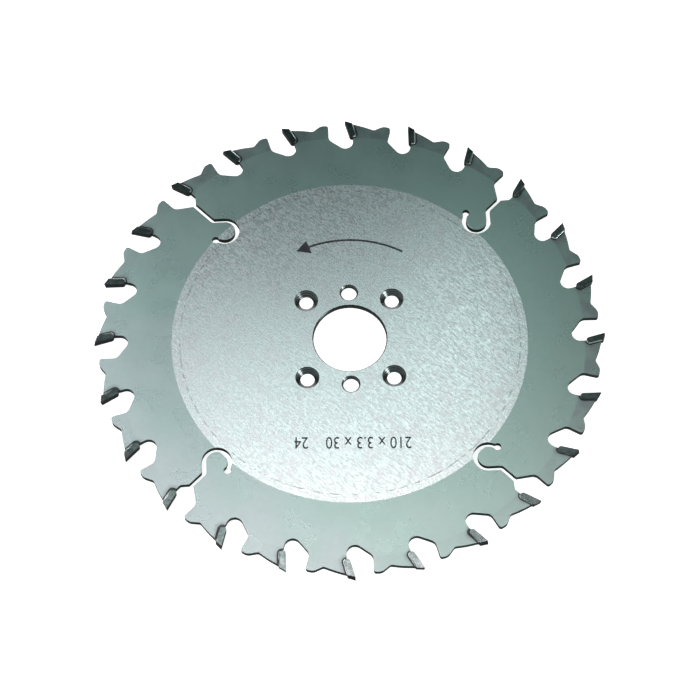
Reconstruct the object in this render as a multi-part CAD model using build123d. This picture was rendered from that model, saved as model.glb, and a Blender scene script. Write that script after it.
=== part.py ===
from build123d import *
import os
from math import cos, radians, sin, tan

# Grooving saw blade: a ground steel body with hard-metal tips brazed into its teeth.
# Millimetres. The origin is the centre of the bore, halfway through the thickness.
# +Z leaves the countersunk face, and seen from there the blade cuts turning anticlockwise.
# A tooth is drawn on the +Y axis: its cutting edge is at x = 0 and its back is on the right.

# Cutting circle and teeth
cutting_diameter = 210.0
kerf = 3.3
slot_count = 4
teeth_per_slot = 6

# Steel body
rim_thickness = 2.4
hub_thickness = 2.7
hub_flat_diameter = 144.8
hub_edge_width = 0.6

# Bore and holes
bore_diameter = 30.0
pin_circle_diameter = 42.0
pin_hole_diameter = 6.5
pin_hole_count = 2
first_pin_angle = 90.0
screw_circle_diameter = 50.0
screw_hole_diameter = 5.8
screw_hole_count = 4
countersink_diameter = 9.8
countersink_angle = 90.0
bore_edge_break = 0.4
pin_edge_break = 0.6

# Hard-metal tip
tip_length = 8.7
tip_thickness = 2.75
tip_corner_radius = 1.2
hook_angle = 15.0
top_clearance_angle = 17.0
top_bevel_angle = 8.0
radial_side_angle = 1.2
back_side_angle = 3.0
tip_stand_up = 0.95
tip_overhang = 1.15

# Tooth back and chip limiter
tooth_back_angle = 16.5
heel_distance = 4.8
heel_angle = 23.0
back_crown_radius = 40.0
limiter_gap = 7.1
limiter_drop = 2.5
limiter_length = 3.2
limiter_rise_angle = 39.0
limiter_front_radius = 1.1
limiter_crest_radius = 3.5
dip_radius = 1.5

# Gullet
limiter_front_height = 7.0
gullet_slope_angle = 36.3
gullet_radius = 3.3
gullet_shoulder_radius = 3.0
slot_mouth_angle = 49.0
slot_mouth_radius = 1.0

# Expansion slots: a straight cut from the gullet, then a hook that ends in a round hole
slot_width = 1.8
slot_offset = 0.15
slot_depth = 28.3
long_slot_extra = 3.9
long_slot_number = 1
hook_radius = 5.2
hook_entry_angle = 47.0
hook_end_angle = 208.0
hook_tail_length = 2.5
hook_hole_diameter = 3.0
slot_bend_radius = 1.4

# Worked out from the sizes above
cutting_radius = cutting_diameter / 2
bore_radius = bore_diameter / 2
tooth_count = slot_count * teeth_per_slot
pitch_angle = 360.0 / tooth_count
first_slot_angle = 180.0 / slot_count
first_screw_angle = first_pin_angle - 180.0 / screw_hole_count
through = 2 * hub_thickness + kerf
slope = Vector(cos(radians(gullet_slope_angle)), -sin(radians(gullet_slope_angle)))
rake_down = Vector(sin(radians(hook_angle)), -cos(radians(hook_angle)))
rake_back = Vector(cos(radians(hook_angle)), sin(radians(hook_angle)))
tip_top_fall = Vector(cos(radians(top_clearance_angle)), -sin(radians(top_clearance_angle)))
back_fall = Vector(cos(radians(tooth_back_angle)), -sin(radians(tooth_back_angle)))
heel_fall = Vector(cos(radians(heel_angle)), -sin(radians(heel_angle)))
limiter_rise = Vector(cos(radians(limiter_rise_angle)), sin(radians(limiter_rise_angle)))


def crossing(start_a, along_a, start_b, along_b):
    """Point where two lines in the plane meet, each given by a point and a direction."""
    gap = start_b - start_a
    turn = along_a.X * along_b.Y - along_a.Y * along_b.X
    reach = (gap.X * along_b.Y - gap.Y * along_b.X) / turn
    return start_a + along_a * reach


def on_vertical(start, along, x):
    """Point of a line at a given x."""
    return start + along * ((x - start.X) / along.X)


def to_tooth_in_front(point):
    """The same point of the tooth in front, one pitch further anticlockwise."""
    return point.rotate(Axis.Z, pitch_angle)


def tip_profile_points():
    """Cutting edge, inner front and inner back corner, and top back corner of a tip."""
    edge = Vector(0, cutting_radius)
    inner_front = edge + rake_down * tip_length
    inner_back = inner_front + rake_back * tip_thickness
    top_back = crossing(edge, tip_top_fall, inner_back, rake_down)
    return edge, inner_front, inner_back, top_back


def seat_points():
    """Plate corner behind the tip, inner corner of the seat and front end of its ledge."""
    edge, inner_front, inner_back, top_back = tip_profile_points()
    plate_corner = top_back + rake_down * tip_stand_up
    ledge_front = inner_front + rake_back * tip_overhang
    return plate_corner, inner_back, ledge_front


def limiter_points():
    """Back and front corner of the limiter's crest, and the shoulder of the gullet below."""
    front = Vector(-limiter_gap, cutting_radius - limiter_drop)
    crest = front - Vector(limiter_length, 0)
    shoulder = front - Vector(0, limiter_front_height)
    return crest, front, shoulder


def slot_mouth():
    """Where the slope of a gullet meets the centre line of its slot."""
    crest, front, shoulder = limiter_points()
    return on_vertical(shoulder, slope, slot_offset)


def tooth_gap(slotted):
    """Everything cut away in front of one tip: its seat, the gullet, and the space over
    the limiter and over the back of the tooth in front."""
    plate_corner, seat_corner, ledge_front = seat_points()
    limiter_crest, limiter_front, shoulder = limiter_points()
    outside = cutting_radius / cos(radians(pitch_angle / 2)) + kerf
    seat_way_out = plate_corner - rake_down * (outside - plate_corner.Y)

    heel = plate_corner + back_fall * heel_distance
    heel_in_front = to_tooth_in_front(heel)
    dip = crossing(limiter_crest, limiter_rise, heel_in_front, to_tooth_in_front(heel_fall))
    into_seat = to_tooth_in_front(plate_corner - back_fall * (tip_thickness / 2))
    into_seat_way_out = to_tooth_in_front(seat_way_out - rake_back * (tip_thickness / 2))

    if slotted:
        mouth = slot_mouth()
        mouth_rise = Vector(cos(radians(slot_mouth_angle)), sin(radians(slot_mouth_angle)))
        wall_foot = on_vertical(mouth, mouth_rise, ledge_front.X)
        bottom = [(wall_foot, slot_mouth_radius), (mouth, 0)]
    else:
        bottom = [(on_vertical(shoulder, slope, ledge_front.X), gullet_radius)]

    corners = [
        (seat_way_out, 0),
        (seat_corner, tip_corner_radius),
        (ledge_front, 0),
        *bottom,
        (shoulder, gullet_shoulder_radius),
        (limiter_front, limiter_front_radius),
        (limiter_crest, limiter_crest_radius),
        (dip, dip_radius),
        (heel_in_front, back_crown_radius),
        (into_seat, 0),
        (into_seat_way_out, 0),
    ]
    points = [corner for corner, radius in corners]
    radii = [radius for corner, radius in corners]
    return make_face(FilletPolyline(*points, radius=radii, close=True))


def expansion_slot(extra_depth):
    """Slot of one gullet, as a band along its centre line with a round hole at the end."""
    centre = Vector(slot_offset, cutting_radius - slot_depth - extra_depth)
    hook_turn = hook_end_angle - 360 - hook_entry_angle
    hook = CenterArc(centre, hook_radius, hook_entry_angle, hook_turn)
    bend = on_vertical(hook @ 0, hook % 0, slot_offset)
    start = slot_mouth() + Vector(0, slot_width)
    leg = FilletPolyline(start, bend, hook @ 0, radius=slot_bend_radius)
    hole_centre = hook @ 1 + (hook % 1) * hook_tail_length
    tail = Line(hook @ 1, hole_centre)
    hole = Pos(hole_centre) * Circle(hook_hole_diameter / 2)
    return trace(leg, slot_width) + trace(hook, slot_width) + trace(tail, slot_width) + hole


def turned_to(shape, angle):
    """A shape drawn on the +Y axis, turned to the given angle from the X axis."""
    return Rot(0, 0, angle - 90) * shape


def disc():
    """Ground disc with its thicker hub, the shallow edge of the hub and the bore."""
    half_hub = hub_thickness / 2
    half_rim = rim_thickness / 2
    hub_radius = hub_flat_diameter / 2
    half_section = [
        (bore_radius, half_hub - bore_edge_break),
        (bore_radius + bore_edge_break, half_hub),
        (hub_radius, half_hub),
        (hub_radius + hub_edge_width, half_rim),
        (cutting_radius, half_rim),
    ]
    mirrored = [(r, -z) for r, z in reversed(half_section)]
    section = make_face(Polyline(*half_section, *mirrored, close=True))
    return revolve(Plane.XZ * section, Axis.Z)


def pin_hole():
    """Round hole with both edges broken."""
    radius = pin_hole_diameter / 2
    wide = radius + pin_edge_break
    break_cone = Cone(radius, wide, pin_edge_break, align=(Align.CENTER, Align.CENTER, Align.MAX))
    upper = Pos(0, 0, hub_thickness / 2) * break_cone
    return Cylinder(radius, through) + upper + mirror(upper, Plane.XY)


def screw_hole():
    """Round hole with a countersink in the +Z face."""
    radius = screw_hole_diameter / 2
    wide = countersink_diameter / 2
    depth = (wide - radius) / tan(radians(countersink_angle / 2))
    hole = Cylinder(radius, through)
    sink = Cone(radius, wide, depth, align=(Align.CENTER, Align.CENTER, Align.MAX))
    return hole + Pos(0, 0, hub_thickness / 2) * sink


def tooth_angle(number):
    """Place of a tooth, counted from 0 on the X axis."""
    return number * pitch_angle


def slot_tooth(number):
    """The tooth that an expansion slot lies in front of."""
    return round((first_slot_angle / pitch_angle) + number * teeth_per_slot)


def blade_body():
    slotted_teeth = [slot_tooth(number) for number in range(slot_count)]
    gaps = []
    for number in range(tooth_count):
        gaps.append(turned_to(tooth_gap(number in slotted_teeth), tooth_angle(number)))
    slots = []
    for number in range(slot_count):
        extra = long_slot_extra if number == long_slot_number else 0
        slots.append(turned_to(expansion_slot(extra), tooth_angle(slot_tooth(number))))
    body = disc()
    body -= [extrude(cut, amount=through / 2, both=True) for cut in gaps + slots]
    pin_places = PolarLocations(pin_circle_diameter / 2, pin_hole_count, first_pin_angle)
    screw_places = PolarLocations(screw_circle_diameter / 2, screw_hole_count, first_screw_angle)
    body -= [place * pin_hole() for place in pin_places]
    body -= [place * screw_hole() for place in screw_places]
    return body


def tip(high_side):
    """Hard-metal tip, ground on its sides and bevelled on top, with its high corner on
    the side that high_side gives: 1 for +Z and -1 for -Z."""
    edge, inner_front, inner_back, top_back = tip_profile_points()
    spare = -rake_down * kerf
    profile = FilletPolyline(
        edge + spare,
        inner_front,
        inner_back,
        top_back + spare,
        radius=[0, tip_corner_radius, tip_corner_radius, 0],
        close=True,
    )
    solid = extrude(make_face(profile), amount=kerf, both=True)
    narrowing = Vector(tan(radians(back_side_angle)), -tan(radians(radial_side_angle)), 0)
    for side in (1, -1):
        corner = edge + Vector(0, 0, side * kerf / 2)
        outwards = narrowing + Vector(0, 0, side)
        solid = split(solid, bisect_by=Plane(corner, z_dir=outwards), keep=Keep.BOTTOM)
    high_corner = edge + Vector(0, 0, high_side * kerf / 2)
    cutting_edge = rake_down * tan(radians(top_bevel_angle)) + Vector(0, 0, -high_side)
    upwards = tip_top_fall.cross(cutting_edge) * high_side
    return split(solid, bisect_by=Plane(high_corner, z_dir=upwards), keep=Keep.BOTTOM)


def write(shape, name):
    shape.label = name
    export_step(shape, f"parts/{name}.step")


os.makedirs("parts", exist_ok=True)
write(blade_body(), "blade_body")
for number in range(tooth_count):
    bevel = -1 if number % 2 == 0 else 1
    write(turned_to(tip(bevel), tooth_angle(number)), f"tip_{number + 1:02d}")
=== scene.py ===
import math

import bpy
from mathutils import Matrix, Vector


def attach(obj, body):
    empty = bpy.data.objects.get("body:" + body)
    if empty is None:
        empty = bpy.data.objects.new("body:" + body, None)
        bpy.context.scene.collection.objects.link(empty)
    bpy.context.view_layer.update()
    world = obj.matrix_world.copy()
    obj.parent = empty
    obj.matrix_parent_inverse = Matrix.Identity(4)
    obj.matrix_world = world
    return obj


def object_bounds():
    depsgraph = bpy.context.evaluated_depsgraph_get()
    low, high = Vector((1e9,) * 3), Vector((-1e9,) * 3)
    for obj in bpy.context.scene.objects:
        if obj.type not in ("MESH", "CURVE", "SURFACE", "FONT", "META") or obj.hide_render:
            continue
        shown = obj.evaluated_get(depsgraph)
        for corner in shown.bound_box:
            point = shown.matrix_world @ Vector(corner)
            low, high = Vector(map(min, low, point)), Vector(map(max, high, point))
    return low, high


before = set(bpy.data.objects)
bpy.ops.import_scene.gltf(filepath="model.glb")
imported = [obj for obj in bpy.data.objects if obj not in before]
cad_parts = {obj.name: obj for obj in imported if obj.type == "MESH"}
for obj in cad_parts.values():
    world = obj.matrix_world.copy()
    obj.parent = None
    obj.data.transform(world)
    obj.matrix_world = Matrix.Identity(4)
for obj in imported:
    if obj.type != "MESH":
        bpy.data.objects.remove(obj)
cad_low, cad_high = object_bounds()

# Sizes of the blade, in millimetres, as the part has them
MM = 0.001
CUTTING_RADIUS = 105.0
RIM_THICKNESS = 2.4
HUB_THICKNESS = 2.7
HUB_FLAT_RADIUS = 72.4
HUB_EDGE_WIDTH = 0.6
TOOTH_COUNT = 24
HOOK_ANGLE = math.radians(15.0)
TIP_LENGTH = 8.7
TIP_THICKNESS = 2.75
TIP_CORNER_RADIUS = 1.2
TIP_STAND_UP = 0.95
TIP_OVERHANG = 1.15
TOP_CLEARANCE = math.radians(17.0)
BORE_RADIUS = 15.0
SCREW_OFFSET = 25.0 * math.sqrt(0.5)

# Pieces that only the dressed blade has, in millimetres
BRAZE_RADIUS = 0.33
MARK_THICKNESS = 0.02
ARROW_RADIUS = 46.0
ARROW_MIDDLE = math.radians(85.6)
ARROW_SWEEP = math.radians(50.0)
ARROW_LINE = 0.9
ARROW_HEAD = 5.6
NUMBERS = "210 x 3.3 x 30    24"
NUMBERS_HEIGHT = 5.2
NUMBERS_WIDTH = 47.0
NUMBERS_BELOW_CENTRE = 47.2
NUMBERS_RIGHT_OF_CENTRE = 0.2

# Where the finishes change and how their patterns run, in millimetres, and degrees for the grains
RING_PITCH = 0.7
GROUND_RADIUS = 96.4
SCRIBED_RADIUS = 69.8
HUB_GRAIN = 135.0
RIM_GRAIN = 20.0
CARBIDE_GRAIN = 60.0
# Painted light: the rim's colour shifts towards greyer on the side where the light is brightest, here
# 225 degrees, and wide random patches move that shift.
LIT_SIDE_DIRECTION = (math.cos(math.radians(225.0)), math.sin(math.radians(225.0)), 0.0)
TINT_WANDER = 120.0

# Colours, from the one low in a pattern to the one high in it
HUB_GROOVES = (0.58, 0.74, 0.73, 1.0)
HUB_CRESTS = (0.76, 0.92, 0.91, 1.0)
HUB_WARM_PATCHES = (0.66, 0.73, 0.75, 1.0)
SCRIBED_CIRCLE = (0.20, 0.26, 0.26, 1.0)
# The rim turns from greenish to greyish towards its brightest lit side, which is painted light, and also
# at random.
RIM_GREENISH = (0.308, 0.494, 0.452, 1.0)
RIM_GREYISH = (0.366, 0.506, 0.496, 1.0)
RIM_SMUDGES = (0.298, 0.405, 0.393, 1.0)
# Colour of the real ground band near the teeth; how strongly it shows also carries painted shade.
TOOTH_GROUND = (0.238, 0.322, 0.322, 1.0)
# Soft darkening round each tip's seat, partly heat tint from brazing and partly painted shade.
HEAT_STAIN_AND_SHADE = (0.13, 0.16, 0.17, 1.0)
SEAM_SHADOW = (0.02, 0.03, 0.03, 1.0)
CONE_GROOVES = (0.035, 0.042, 0.042, 1.0)
CONE_CRESTS = (0.14, 0.165, 0.165, 1.0)
BORE_EDGE = (0.025, 0.030, 0.030, 1.0)
CUT_WALL = (0.012, 0.016, 0.015, 1.0)
CARBIDE_DARK = (0.145, 0.215, 0.205, 1.0)
CARBIDE_LIGHT = (0.235, 0.325, 0.32, 1.0)
CARBIDE_EDGES = (0.006, 0.008, 0.008, 1.0)
BRAZE_DULL = (0.05, 0.065, 0.06, 1.0)
BRAZE_BRIGHT = (0.42, 0.48, 0.47, 1.0)
MARK_DARK = (0.014, 0.020, 0.024, 1.0)
MARK_WORN = (0.06, 0.075, 0.08, 1.0)

# Roughness, for the low and the high end of a pattern, or one value
HUB_ROUGHNESS = (0.290, 0.205)
RIM_ROUGHNESS = (0.27, 0.29)
CONE_ROUGHNESS = 0.26
WALL_ROUGHNESS = 0.6
CARBIDE_ROUGHNESS = (0.14, 0.17)
BRAZE_ROUGHNESS = (0.35, 0.22)
MARK_ROUGHNESS = (0.55, 0.7)

# Depth of the surface patterns, in millimetres, and each pattern's share of it on the body
BODY_RELIEF = 0.035
HUB_RELIEF_SHARE = 0.4
RIM_RELIEF_SHARE = 0.08
CONE_RELIEF_SHARE = 0.25
CARBIDE_RELIEF = 0.0008
BRAZE_RELIEF = 0.01
MARK_RELIEF = 0.004
METAL_EDGE_SHINE = 0.05
MARK_SHINE = 0.3

# Studio, in metres and watts: four lamps hang at one height and look straight down, each with
# its place over the blade, its size, its power and its tint. They hang in front of a dim ceiling
LAMP_HEIGHT = 0.85
HANGING_LAMPS = {
    "front_lamp": ((-0.104, 0.194), (1.029, 0.051), 0.934, (1.38, 1.0, 1.03)),
    "left_lamp": ((-0.512, 0.269), (0.412, 0.751), 4.52, (1.17, 1.0, 1.07)),
    "middle_lamp": ((-0.020, 0.344), (0.242, 0.214), 0.171, (0.95, 1.0, 1.0)),
    "right_lamp": ((0.113, 0.422), (0.068, 0.194), 0.079, (0.94, 1.0, 0.98)),
}
LOW_LAMP_PLACE = (0.90, -0.42, 0.34)
LOW_LAMP_SIZE = (0.3, 0.3)
LOW_LAMP_POWER = 5.0
PLAIN_TINT = (1.0, 1.0, 1.0)
BLADE_CENTRE = (0.0, 0.0, 0.0)
CEILING_ELEVATION = math.radians(63.0)
CEILING_INNER = math.radians(35.0)
CEILING_OUTER = math.radians(55.0)
CEILING_COLOUR = (0.028, 0.051, 0.049, 1.0)
WALL_COLOUR = (0.48, 0.51, 0.51, 1.0)
WALL_FOOT = 0.15
WALL_HEAD = 0.35
FLOOR_SIZE = 30.0
FLOOR_GREY = 0.85
FLOOR_GLOW = 0.8

# Camera, as the photograph was taken
IMAGE_WIDTH = 700
FOCAL_PIXELS = 2292.4
CAMERA_ELEVATION = math.radians(63.25)
CAMERA_DISTANCE = 0.9385
BLADE_TURN = math.radians(0.97)
CAMERA_ROLL = math.radians(0.316)
AIM_BELOW_CENTRE = 0.0049
SENSOR_WIDTH = 36.0


def deselect():
    bpy.ops.object.select_all(action="DESELECT")


def add_node(tree, kind, inputs=None, **settings):
    """A node with its settings, and its inputs either linked or set."""
    made = tree.nodes.new(kind)
    for name, value in settings.items():
        setattr(made, name, value)
    for key, value in (inputs or {}).items():
        if isinstance(value, bpy.types.NodeSocket):
            tree.links.new(value, made.inputs[key])
        else:
            made.inputs[key].default_value = value
    return made


def maths(tree, operation, first, second=0.0, third=0.0):
    """Result of a sum on one, two or three values."""
    made = add_node(tree, "ShaderNodeMath", {0: first, 1: second, 2: third}, operation=operation)
    return made.outputs[0]


def vector_maths(tree, operation, first, second=(0.0, 0.0, 0.0)):
    made = add_node(tree, "ShaderNodeVectorMath", {0: first, 1: second}, operation=operation)
    return made.outputs["Value" if operation in ("LENGTH", "DOT_PRODUCT") else "Vector"]


def ramp(tree, value, low, high, out_low=0.0, out_high=1.0):
    """A value that turns smoothly from out_low to out_high as the input goes from low to high."""
    inputs = {"Value": value, 1: low, 2: high, 3: out_low, 4: out_high}
    made = add_node(tree, "ShaderNodeMapRange", inputs, interpolation_type="SMOOTHSTEP")
    return made.outputs[0]


def blend_colours(tree, share, first, second, mode="MIX"):
    inputs = {0: share, 6: first, 7: second}
    made = add_node(tree, "ShaderNodeMix", inputs, data_type="RGBA", blend_type=mode)
    return made.outputs[2]


def blend_vectors(tree, share, first, second):
    made = add_node(tree, "ShaderNodeMix", {0: share, 4: first, 5: second}, data_type="VECTOR")
    return made.outputs[1]


def blend_values(tree, share, first, second):
    made = add_node(tree, "ShaderNodeMix", {0: share, 2: first, 3: second}, data_type="FLOAT")
    return made.outputs[0]


def grey(level):
    return (level, level, level, 1.0)


def new_group(name, inputs, outputs):
    """An empty node group with its sockets, and its input and output nodes."""
    group = bpy.data.node_groups.new(name, "ShaderNodeTree")
    for socket, (kind, value) in inputs.items():
        made = group.interface.new_socket(socket, in_out="INPUT", socket_type=kind)
        if value is not None:
            made.default_value = value
    for socket, kind in outputs.items():
        group.interface.new_socket(socket, in_out="OUTPUT", socket_type=kind)
    return group, add_node(group, "NodeGroupInput"), add_node(group, "NodeGroupOutput")


def use_group(tree, group, inputs):
    return add_node(tree, "ShaderNodeGroup", inputs, node_tree=group)


def make_blade_place():
    """Where a point lies on the blade: its radius, and its distance behind the face and
    below the top of the nearest tip, and outside that tip's seat, in millimetres."""
    group, given, result = new_group(
        "blade_place",
        {"Point": ("NodeSocketVector", None)},
        {"Radius": "NodeSocketFloat", "Behind": "NodeSocketFloat", "Down": "NodeSocketFloat",
         "From Seat": "NodeSocketFloat"},
    )
    flat = vector_maths(group, "MULTIPLY", given.outputs["Point"], (1.0, 1.0, 0.0))
    radius = vector_maths(group, "LENGTH", flat)
    parts = add_node(group, "ShaderNodeSeparateXYZ", {0: flat})
    angle = maths(group, "ARCTAN2", parts.outputs["Y"], parts.outputs["X"])
    pitch = 2 * math.pi / TOOTH_COUNT
    turned = maths(group, "ADD", angle, 2 * math.pi + pitch / 2)
    from_tooth = maths(group, "SUBTRACT", maths(group, "MODULO", turned, pitch), pitch / 2)
    across = maths(group, "MULTIPLY", maths(group, "SINE", from_tooth), radius)
    across = maths(group, "MULTIPLY", across, -1.0)
    outwards = maths(group, "MULTIPLY", maths(group, "COSINE", from_tooth), radius)
    above = maths(group, "SUBTRACT", outwards, CUTTING_RADIUS)

    def along(x_share, y_share):
        return maths(group, "MULTIPLY_ADD", across, x_share, maths(group, "MULTIPLY", above, y_share))

    behind = along(math.cos(HOOK_ANGLE), math.sin(HOOK_ANGLE))
    down = along(math.sin(HOOK_ANGLE), -math.cos(HOOK_ANGLE))
    past_back = maths(group, "SUBTRACT", behind, TIP_THICKNESS - TIP_CORNER_RADIUS)
    past_back = maths(group, "MAXIMUM", past_back, 0.0)
    past_end = maths(group, "SUBTRACT", down, TIP_LENGTH - TIP_CORNER_RADIUS)
    past_end = maths(group, "MAXIMUM", past_end, 0.0)
    past = add_node(group, "ShaderNodeCombineXYZ", {"X": past_back, "Y": past_end, "Z": 0.0})
    past = vector_maths(group, "LENGTH", past.outputs[0])
    from_seat = maths(group, "SUBTRACT", past, TIP_CORNER_RADIUS)
    measures = {"Radius": radius, "Behind": behind, "Down": down, "From Seat": from_seat}
    for socket, value in measures.items():
        group.links.new(value, result.inputs[socket])
    return group


def make_grinding():
    """Short scratches that all run one way, as a grinding wheel leaves them. 0.5 is the mean."""
    group, given, result = new_group(
        "grinding",
        {"Point": ("NodeSocketVector", None), "Direction": ("NodeSocketFloat", 0.0),
         "Width": ("NodeSocketFloat", 0.5), "Length": ("NodeSocketFloat", 3.0)},
        {"Scratches": "NodeSocketFloat"},
    )
    turn = maths(group, "MULTIPLY", given.outputs["Direction"], -1.0)
    turned = add_node(group, "ShaderNodeVectorRotate", {"Vector": given.outputs["Point"], "Angle": turn},
                      rotation_type="Z_AXIS")
    size = add_node(group, "ShaderNodeCombineXYZ",
                    {"X": given.outputs["Length"], "Y": given.outputs["Width"], "Z": 1.0})
    squeezed = vector_maths(group, "DIVIDE", turned.outputs[0], size.outputs[0])
    noise = add_node(group, "ShaderNodeTexNoise",
                     {"Vector": squeezed, "Scale": 1.0, "Detail": 3.0, "Roughness": 0.62})
    group.links.new(noise.outputs[0], result.inputs["Scratches"])
    return group


def make_blotches():
    """Soft irregular patches, such as stains and uneven polish. 0.5 is the mean."""
    group, given, result = new_group(
        "blotches",
        {"Point": ("NodeSocketVector", None), "Size": ("NodeSocketFloat", 5.0),
         "Detail": ("NodeSocketFloat", 2.0)},
        {"Patches": "NodeSocketFloat"},
    )
    scale = maths(group, "DIVIDE", 1.0, given.outputs["Size"])
    noise = add_node(group, "ShaderNodeTexNoise",
                     {"Vector": given.outputs["Point"], "Scale": scale,
                      "Detail": given.outputs["Detail"], "Roughness": 0.55})
    group.links.new(noise.outputs[0], result.inputs["Patches"])
    return group


BLADE_PLACE = make_blade_place()
GRINDING = make_grinding()
BLOTCHES = make_blotches()


def new_material(name):
    """A material with its tree, the point in millimetres, the normal and the surface node."""
    material = bpy.data.materials.new(name)
    material.use_nodes = True
    tree = material.node_tree
    tree.nodes.clear()
    surface = add_node(tree, "ShaderNodeBsdfPrincipled")
    add_node(tree, "ShaderNodeOutputMaterial", {"Surface": surface.outputs[0]})
    place = add_node(tree, "ShaderNodeTexCoord")
    point = add_node(tree, "ShaderNodeVectorMath", {0: place.outputs["Object"], 3: 1 / MM},
                     operation="SCALE").outputs[0]
    return material, tree, point, place.outputs["Normal"], surface


def scratches(tree, point, degrees, width, length):
    inputs = {"Point": point, "Direction": math.radians(degrees), "Width": width, "Length": length}
    return use_group(tree, GRINDING, inputs).outputs[0]


def patches(tree, point, size, detail=2.0):
    return use_group(tree, BLOTCHES, {"Point": point, "Size": size, "Detail": detail}).outputs[0]


def face_lean(tree, normal):
    """How far a face looks up or down: 1 on a flat side, 0 on a wall."""
    parts = add_node(tree, "ShaderNodeSeparateXYZ", {0: normal})
    return maths(tree, "ABSOLUTE", parts.outputs["Z"])


def sign_of_height(tree, normal):
    """1 on a face that looks up and -1 on one that looks down."""
    parts = add_node(tree, "ShaderNodeSeparateXYZ", {0: normal})
    return maths(tree, "SIGN", parts.outputs["Z"])


def bump(tree, height, depth_mm, normal=None):
    """Normal of a surface that stands up by a height map, on its own normal or a given one."""
    inputs = {"Distance": depth_mm * MM, "Height": height}
    if normal is not None:
        inputs["Normal"] = normal
    return add_node(tree, "ShaderNodeBump", inputs).outputs[0]


def turned_finish(tree, point):
    """Fine rings round the axis of each screw hole, as a countersinking tool leaves them."""
    mirrored = vector_maths(tree, "ABSOLUTE", point)
    from_hole = vector_maths(tree, "SUBTRACT", mirrored, (SCREW_OFFSET, SCREW_OFFSET, 0.0))
    distance = vector_maths(tree, "LENGTH", vector_maths(tree, "MULTIPLY", from_hole, (1.0, 1.0, 0.0)))
    wave = maths(tree, "SINE", maths(tree, "MULTIPLY", distance, 2 * math.pi / RING_PITCH))
    return ramp(tree, wave, -1.0, 1.0)


def side_finish(tree, place, point):
    """Masks and colours of the two flat sides: satin rim, coarsely ground hub, and their marks, with
    painted light and shade on the rim that follow the side of the brightest light.
    """
    radius = place.outputs["Radius"]
    hub_edge = HUB_FLAT_RADIUS + HUB_EDGE_WIDTH
    on_hub = ramp(tree, radius, hub_edge + 0.1, hub_edge - 0.1)

    coarse = scratches(tree, point, HUB_GRAIN, 0.70, 2.3)
    fine = scratches(tree, point, HUB_GRAIN, 0.30, 1.3)
    hub_grain = blend_values(tree, 0.5, coarse, fine)
    hub_colour = blend_colours(tree, ramp(tree, hub_grain, 0.42, 0.58), HUB_GROOVES, HUB_CRESTS)
    warm_patches = ramp(tree, patches(tree, point, 7.0, 3.0), 0.45, 0.7)
    warm_share = maths(tree, "MULTIPLY", warm_patches, 0.5)
    hub_colour = blend_colours(tree, warm_share, hub_colour, HUB_WARM_PATCHES)
    scribed = maths(tree, "ABSOLUTE", maths(tree, "SUBTRACT", radius, SCRIBED_RADIUS))
    broken = ramp(tree, patches(tree, point, 2.2, 0.0), 0.44, 0.54)
    scribed = maths(tree, "MULTIPLY", ramp(tree, scribed, 0.4, 0.1), broken)
    scribed_share = maths(tree, "MULTIPLY", scribed, 0.55)
    hub_colour = blend_colours(tree, scribed_share, hub_colour, SCRIBED_CIRCLE)

    wide_patches = patches(tree, point, 30.0, 1.0)
    small_patches = patches(tree, point, 2.5, 3.0)
    # Painted light: the rim is greyer towards the side where the light is brightest, and wide random
    # patches move this shift.
    lit_side_and_tint_drift = vector_maths(tree, "DOT_PRODUCT", point, LIT_SIDE_DIRECTION)
    lit_side_and_tint_drift = maths(tree, "MULTIPLY_ADD", maths(tree, "SUBTRACT", wide_patches, 0.5), TINT_WANDER, lit_side_and_tint_drift)
    rim_colour = blend_colours(tree, ramp(tree, lit_side_and_tint_drift, 25.0, 105.0), RIM_GREENISH, RIM_GREYISH)
    smudge = maths(tree, "MULTIPLY", ramp(tree, small_patches, 0.35, 0.7), 0.22)
    rim_colour = blend_colours(tree, smudge, rim_colour, RIM_SMUDGES)
    outer = ramp(tree, radius, GROUND_RADIUS - 0.4, GROUND_RADIUS + 0.4)
    uneven = ramp(tree, patches(tree, point, 6.0, 3.0), 0.35, 0.65, 0.4, 1.0)
    outer = maths(tree, "MULTIPLY", outer, uneven)
    # Painted shade: the ground band is drawn strong on the side away from the brightest light and faint
    # on the lit side.
    outer = maths(tree, "MULTIPLY", outer, ramp(tree, lit_side_and_tint_drift, 70.0, -60.0, 0.12, 0.9))
    rim_colour = blend_colours(tree, outer, rim_colour, TOOTH_GROUND)
    return on_hub, hub_grain, blend_colours(tree, on_hub, rim_colour, hub_colour)


def braze_marks_and_shade(tree, place, point, colour):
    """Darkens a colour round the tips: a sharp seam shadow beside the braze, and a soft darkening that
    is partly heat tint from brazing and partly painted shade.
    """
    from_seat = place.outputs["From Seat"]
    at_tooth = ramp(tree, place.outputs["Behind"], -0.6, -0.2)
    uneven = ramp(tree, patches(tree, point, 2.5, 2.0), 0.3, 0.65, 0.25, 1.0)
    # Soft darkening round the seat, partly heat tint and partly painted shade, strongest close to the
    # seat.
    stain_and_shade = maths(tree, "MULTIPLY", ramp(tree, from_seat, 2.8, 0.3), uneven)
    stain_and_shade = maths(tree, "MULTIPLY", stain_and_shade, at_tooth)
    colour = blend_colours(tree, maths(tree, "MULTIPLY", stain_and_shade, 0.55), colour, HEAT_STAIN_AND_SHADE)
    seam = maths(tree, "MULTIPLY", at_tooth, ramp(tree, from_seat, 0.95, 0.65))
    return blend_colours(tree, maths(tree, "MULTIPLY", seam, 0.92), colour, SEAM_SHADOW)


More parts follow.
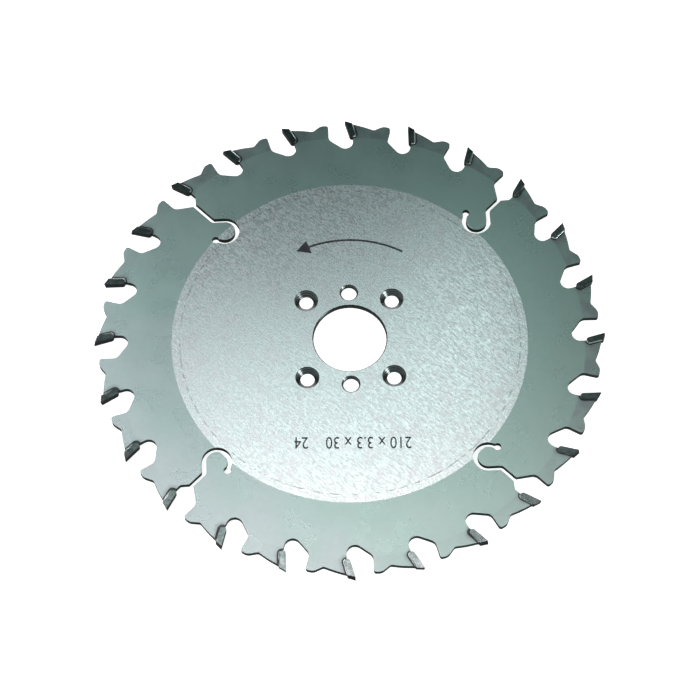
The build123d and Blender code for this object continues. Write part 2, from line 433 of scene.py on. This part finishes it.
def ground_steel():
    """The steel body: ground sides, dark cut walls and turned countersinks."""
    material, tree, point, normal, surface = new_material("ground_steel")
    place = use_group(tree, BLADE_PLACE, {"Point": point})
    radius = place.outputs["Radius"]
    lean = face_lean(tree, normal)
    on_side = ramp(tree, lean, 0.90, 0.97)
    on_wall = ramp(tree, lean, 0.45, 0.25)
    on_hub, hub_grain, side_colour = side_finish(tree, place, point)
    side_colour = braze_marks_and_shade(tree, place, point, side_colour)

    turned_rings = turned_finish(tree, point)
    cone_colour = blend_colours(tree, turned_rings, CONE_GROOVES, CONE_CRESTS)
    on_bore_edge = ramp(tree, radius, BORE_RADIUS + 1.2, BORE_RADIUS + 0.8)
    cone_colour = blend_colours(tree, on_bore_edge, cone_colour, BORE_EDGE)
    colour = blend_colours(tree, on_side, cone_colour, side_colour)
    colour = blend_colours(tree, on_wall, colour, CUT_WALL)

    hub_roughness = ramp(tree, hub_grain, 0.42, 0.58, *HUB_ROUGHNESS)
    rim_roughness = ramp(tree, patches(tree, point, 14.0), 0.3, 0.7, *RIM_ROUGHNESS)
    roughness = blend_values(tree, on_hub, rim_roughness, hub_roughness)
    roughness = blend_values(tree, on_side, CONE_ROUGHNESS, roughness)
    roughness = blend_values(tree, on_wall, roughness, WALL_ROUGHNESS)

    rim_height = maths(tree, "MULTIPLY", scratches(tree, point, RIM_GRAIN, 0.5, 6.0), RIM_RELIEF_SHARE)
    hub_height = maths(tree, "MULTIPLY", hub_grain, HUB_RELIEF_SHARE)
    side_height = blend_values(tree, on_hub, rim_height, hub_height)
    cone_height = maths(tree, "MULTIPLY", turned_rings, CONE_RELIEF_SHARE)
    height = blend_values(tree, on_side, cone_height, side_height)
    upright = add_node(tree, "ShaderNodeCombineXYZ", {"Z": sign_of_height(tree, normal)}).outputs[0]
    level_side = blend_vectors(tree, on_side, normal, upright)
    tree.links.new(colour, surface.inputs["Base Color"])
    tree.links.new(roughness, surface.inputs["Roughness"])
    tree.links.new(maths(tree, "SUBTRACT", 1.0, on_wall), surface.inputs["Metallic"])
    tree.links.new(bump(tree, height, BODY_RELIEF, level_side), surface.inputs["Normal"])
    surface.inputs["Specular IOR Level"].default_value = METAL_EDGE_SHINE
    return material


def ground_carbide():
    """The hard-metal tips: dark mirror-ground sides, and nearly black faces, tops and backs."""
    material, tree, point, normal, surface = new_material("ground_carbide")
    lean = face_lean(tree, normal)
    on_side = ramp(tree, lean, 0.90, 0.97)
    upright = add_node(tree, "ShaderNodeCombineXYZ", {"Z": sign_of_height(tree, normal)}).outputs[0]
    level_side = blend_vectors(tree, on_side, normal, upright)
    grain = scratches(tree, point, CARBIDE_GRAIN, 0.3, 1.2)
    mottle = patches(tree, point, 2.2, 1.5)
    side_colour = blend_colours(tree, ramp(tree, mottle, 0.35, 0.65), CARBIDE_DARK, CARBIDE_LIGHT)
    colour = blend_colours(tree, on_side, CARBIDE_EDGES, side_colour)
    tree.links.new(colour, surface.inputs["Base Color"])
    side_roughness = ramp(tree, grain, 0.3, 0.7, *CARBIDE_ROUGHNESS)
    roughness = blend_values(tree, on_side, WALL_ROUGHNESS, side_roughness)
    tree.links.new(roughness, surface.inputs["Roughness"])
    tree.links.new(on_side, surface.inputs["Metallic"])
    tree.links.new(bump(tree, grain, CARBIDE_RELIEF, level_side), surface.inputs["Normal"])
    surface.inputs["Specular IOR Level"].default_value = METAL_EDGE_SHINE
    return material


def braze():
    """Silver-coloured braze that has run out along a tip's seat."""
    material, tree, point, _, surface = new_material("braze")
    mottle = patches(tree, point, 9.0, 3.0)
    colour = blend_colours(tree, ramp(tree, mottle, 0.40, 0.60), BRAZE_DULL, BRAZE_BRIGHT)
    tree.links.new(colour, surface.inputs["Base Color"])
    tree.links.new(ramp(tree, mottle, 0.3, 0.7, *BRAZE_ROUGHNESS), surface.inputs["Roughness"])
    tree.links.new(bump(tree, mottle, BRAZE_RELIEF), surface.inputs["Normal"])
    surface.inputs["Metallic"].default_value = 1.0
    return material


def etched_mark():
    """Dark marks etched into the hub, worn a little along its scratches."""
    material, tree, point, _, surface = new_material("etched_mark")
    grain = scratches(tree, point, HUB_GRAIN, 0.3, 1.8)
    colour = blend_colours(tree, ramp(tree, grain, 0.5, 0.8), MARK_DARK, MARK_WORN)
    tree.links.new(colour, surface.inputs["Base Color"])
    tree.links.new(ramp(tree, grain, 0.3, 0.7, *MARK_ROUGHNESS), surface.inputs["Roughness"])
    tree.links.new(bump(tree, grain, MARK_RELIEF), surface.inputs["Normal"])
    surface.inputs["Metallic"].default_value = 0.0
    surface.inputs["Specular IOR Level"].default_value = MARK_SHINE
    return material


def finished(name, material):
    """Gives the active piece its name, finish, slot and body, with its place in its mesh."""
    piece = bpy.context.object
    piece.name = name
    piece.data.name = name
    bpy.ops.object.transform_apply(location=True, rotation=True, scale=True)
    piece.data.materials.clear()
    piece.data.materials.append(material)
    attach(piece, "root")
    return piece


def outward_normals():
    bpy.ops.object.mode_set(mode="EDIT")
    bpy.ops.mesh.select_all(action="SELECT")
    bpy.ops.mesh.remove_doubles(threshold=MM * 0.001)
    bpy.ops.mesh.normals_make_consistent(inside=False)
    bpy.ops.object.mode_set(mode="OBJECT")


def push(distance):
    """Extrudes the selected faces by a vector in millimetres."""
    bpy.ops.mesh.extrude_region_move(TRANSFORM_OT_translate={"value": tuple(Vector(distance) * MM)})


def braze_bead(height):
    """Round bead along the back and the inner end of a tip whose face is the line x = 0 and
    whose top is y = 0, at a height above the middle of the plate."""
    start = TIP_THICKNESS * math.tan(TOP_CLEARANCE + HOOK_ANGLE) + TIP_STAND_UP
    corner = TIP_LENGTH - TIP_CORNER_RADIUS
    turn_centre = Vector((TIP_THICKNESS - TIP_CORNER_RADIUS, -corner, height)) * MM
    deselect()
    bpy.ops.mesh.primitive_circle_add(
        vertices=8, radius=BRAZE_RADIUS * MM, fill_type="NGON",
        location=Vector((TIP_THICKNESS, -start, height)) * MM, rotation=(math.pi / 2, 0.0, 0.0),
    )
    bpy.ops.object.mode_set(mode="EDIT")
    push((0.0, start - corner, 0.0))
    bpy.ops.mesh.spin(steps=6, angle=math.pi / 2, center=turn_centre, axis=(0.0, 0.0, 1.0))
    push((TIP_OVERHANG + TIP_CORNER_RADIUS - TIP_THICKNESS, 0.0, 0.0))
    bpy.ops.object.mode_set(mode="OBJECT")
    bpy.ops.object.transform_apply(location=True, rotation=True, scale=True)
    return bpy.context.object


def braze_seams(material):
    """The braze that shows at the seat of each tip, on both sides of the blade."""
    upper = braze_bead(RIM_THICKNESS / 2)
    lower = braze_bead(-RIM_THICKNESS / 2)
    upper.select_set(True)
    bpy.context.view_layer.objects.active = lower
    bpy.ops.object.join()
    outward_normals()
    bpy.ops.object.shade_smooth_by_angle(angle=math.radians(60.0))
    pattern = bpy.context.object.data
    bpy.data.objects.remove(bpy.context.object)
    to_tooth = Matrix.Translation((0.0, CUTTING_RADIUS * MM, 0.0)) @ Matrix.Rotation(HOOK_ANGLE, 4, "Z")
    for number in range(TOOTH_COUNT):
        angle = number * 2 * math.pi / TOOTH_COUNT - math.pi / 2
        name = f"braze_{number + 1:02d}"
        mesh = pattern.copy()
        mesh.transform(Matrix.Rotation(angle, 4, "Z") @ to_tooth)
        piece = bpy.data.objects.new(name, mesh)
        bpy.context.scene.collection.objects.link(piece)
        deselect()
        piece.select_set(True)
        bpy.context.view_layer.objects.active = piece
        finished(name, material)
    bpy.data.meshes.remove(pattern)


def direction_arrow(material):
    """Curved arrow on the hub that shows which way the blade turns."""
    level = HUB_THICKNESS / 2 + MARK_THICKNESS / 2
    start = ARROW_MIDDLE - ARROW_SWEEP / 2
    deselect()
    bpy.ops.mesh.primitive_cube_add(size=1.0, location=Vector((ARROW_RADIUS, 0.0, level)) * MM)
    bpy.context.object.scale = Vector((ARROW_LINE, ARROW_LINE / 2, MARK_THICKNESS)) * MM
    bpy.ops.object.transform_apply(location=True, rotation=False, scale=True)
    shaft = bpy.context.object
    bpy.ops.object.mode_set(mode="EDIT")
    bpy.ops.mesh.select_all(action="DESELECT")
    bpy.ops.object.mode_set(mode="OBJECT")
    for face in shaft.data.polygons:
        face.select = face.normal.y > 0.9
    bpy.ops.object.mode_set(mode="EDIT")
    bpy.ops.mesh.spin(steps=40, angle=-ARROW_SWEEP, center=(0.0, 0.0, 0.0), axis=(0.0, 0.0, 1.0))
    bpy.ops.object.mode_set(mode="OBJECT")
    deselect()
    bpy.ops.mesh.primitive_cylinder_add(
        vertices=3, radius=ARROW_HEAD * MM / 1.5, depth=MARK_THICKNESS * MM,
        location=Vector((ARROW_RADIUS, ARROW_HEAD / 3, level)) * MM,
    )
    head = bpy.context.object
    bpy.ops.object.transform_apply(location=True, rotation=True, scale=True)
    head.data.transform(Matrix.Rotation(ARROW_SWEEP, 4, "Z"))
    shaft.select_set(True)
    bpy.context.view_layer.objects.active = shaft
    bpy.ops.object.join()
    outward_normals()
    shaft.data.transform(Matrix.Rotation(start, 4, "Z"))
    finished("direction_arrow", material)


def size_numbers(material):
    """Diameter, kerf, bore and tooth count, etched so that they are read from the far side."""
    deselect()
    bpy.ops.object.text_add()
    text = bpy.context.object
    text.data.body = NUMBERS
    text.data.align_x = "CENTER"
    text.data.align_y = "CENTER"
    text.data.extrude = 0.1
    text.data.resolution_u = 4
    bpy.ops.object.convert(target="MESH")
    text = bpy.context.object
    bpy.ops.object.origin_set(type="ORIGIN_GEOMETRY", center="BOUNDS")
    width, height, thickness = text.dimensions
    wanted = (NUMBERS_WIDTH / width, NUMBERS_HEIGHT / height, MARK_THICKNESS / thickness)
    text.scale = Vector(wanted) * MM
    text.rotation_euler = (0.0, 0.0, math.pi - BLADE_TURN)
    level = (HUB_THICKNESS + MARK_THICKNESS) / 2
    text.location = Vector((NUMBERS_RIGHT_OF_CENTRE, -NUMBERS_BELOW_CENTRE, level)) * MM
    finished("size_numbers", material)
    outward_normals()


def dress(node, material):
    """Gives a node of the part its finish."""
    mesh = node.data
    mesh.materials.clear()
    mesh.materials.append(material)


def studio_floor():
    """White floor under the blade, seen as white and still taking its shadow."""
    deselect()
    bpy.ops.mesh.primitive_plane_add(size=FLOOR_SIZE, location=(0.0, 0.0, cad_low.z))
    floor = bpy.context.object
    floor.name = "floor"
    material = bpy.data.materials.new("white_floor")
    material.use_nodes = True
    tree = material.node_tree
    tree.nodes.clear()
    path = add_node(tree, "ShaderNodeLightPath")
    seen = maths(tree, "MAXIMUM", path.outputs["Is Camera Ray"], path.outputs["Is Glossy Ray"])
    seen = maths(tree, "MAXIMUM", seen, path.outputs["Is Transmission Ray"])
    matt = add_node(tree, "ShaderNodeBsdfDiffuse", {"Color": grey(FLOOR_GREY)})
    strength = maths(tree, "MULTIPLY", seen, FLOOR_GLOW)
    glow = add_node(tree, "ShaderNodeEmission", {"Color": grey(1.0), "Strength": strength})
    both = add_node(tree, "ShaderNodeAddShader", {0: matt.outputs[0], 1: glow.outputs[0]})
    add_node(tree, "ShaderNodeOutputMaterial", {"Surface": both.outputs[0]})
    floor.data.materials.append(material)


def soft_light(name, place, size, power, colour, target=None):
    """Rectangular studio lamp that looks straight down or at a target, and isn't seen itself."""
    data = bpy.data.lights.new(name, "AREA")
    data.shape = "RECTANGLE"
    data.size = size[0]
    data.size_y = size[1]
    data.energy = power
    data.color = colour
    lamp = bpy.data.objects.new(name, data)
    lamp.location = place
    if target is not None:
        lamp.rotation_euler = (Vector(target) - Vector(place)).to_track_quat("-Z", "Y").to_euler()
    lamp.visible_camera = False
    bpy.context.scene.collection.objects.link(lamp)


def studio_walls():
    """Pale walls all round, white low down, and a dim ceiling on the far side, which the
    blade mirrors."""
    world = bpy.data.worlds.new("studio")
    bpy.context.scene.world = world
    world.use_nodes = True
    tree = world.node_tree
    direction = add_node(tree, "ShaderNodeTexCoord").outputs["Generated"]
    towards = vector_maths(tree, "DOT_PRODUCT", direction,
                           (0.0, math.cos(CEILING_ELEVATION), math.sin(CEILING_ELEVATION)))
    on_ceiling = ramp(tree, towards, math.cos(CEILING_OUTER), math.cos(CEILING_INNER))
    height = add_node(tree, "ShaderNodeSeparateXYZ", {0: direction}).outputs["Z"]
    wall = blend_colours(tree, ramp(tree, height, WALL_FOOT, WALL_HEAD), grey(1.0), WALL_COLOUR)
    colour = blend_colours(tree, on_ceiling, wall, CEILING_COLOUR)
    tree.links.new(colour, tree.nodes["Background"].inputs["Color"])


def studio():
    studio_walls()
    for name, (place, size, power, tint) in HANGING_LAMPS.items():
        soft_light(name, (*place, LAMP_HEIGHT), size, power, tint)
    soft_light("low_right_lamp", LOW_LAMP_PLACE, LOW_LAMP_SIZE, LOW_LAMP_POWER, PLAIN_TINT, BLADE_CENTRE)
    studio_floor()


def camera():
    """Camera of the photograph: it looks down on the blade from the front."""
    level = Vector((math.cos(BLADE_TURN), -math.sin(BLADE_TURN), 0.0))
    ahead = Vector((math.sin(BLADE_TURN), math.cos(BLADE_TURN), 0.0))
    view = ahead * math.cos(CAMERA_ELEVATION) - Vector((0.0, 0.0, math.sin(CAMERA_ELEVATION)))
    up = level.cross(view)
    right = level * math.cos(CAMERA_ROLL) - up * math.sin(CAMERA_ROLL)
    up = level * math.sin(CAMERA_ROLL) + up * math.cos(CAMERA_ROLL)
    place = -ahead * AIM_BELOW_CENTRE - view * CAMERA_DISTANCE
    data = bpy.data.cameras.new("camera")
    data.sensor_width = SENSOR_WIDTH
    data.lens = FOCAL_PIXELS / IMAGE_WIDTH * data.sensor_width
    data.clip_start = 0.01
    data.clip_end = 100.0
    made = bpy.data.objects.new("camera", data)
    bpy.context.scene.collection.objects.link(made)
    turn = Matrix((right, up, -view)).transposed().to_4x4()
    made.matrix_world = Matrix.Translation(place) @ turn
    bpy.context.scene.camera = made


steel = ground_steel()
carbide = ground_carbide()
for name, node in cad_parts.items():
    dress(node, carbide if name.startswith("tip") else steel)
marking = etched_mark()
braze_seams(braze())
direction_arrow(marking)
size_numbers(marking)

studio()
camera()
bpy.context.scene.view_settings.view_transform = "Standard"
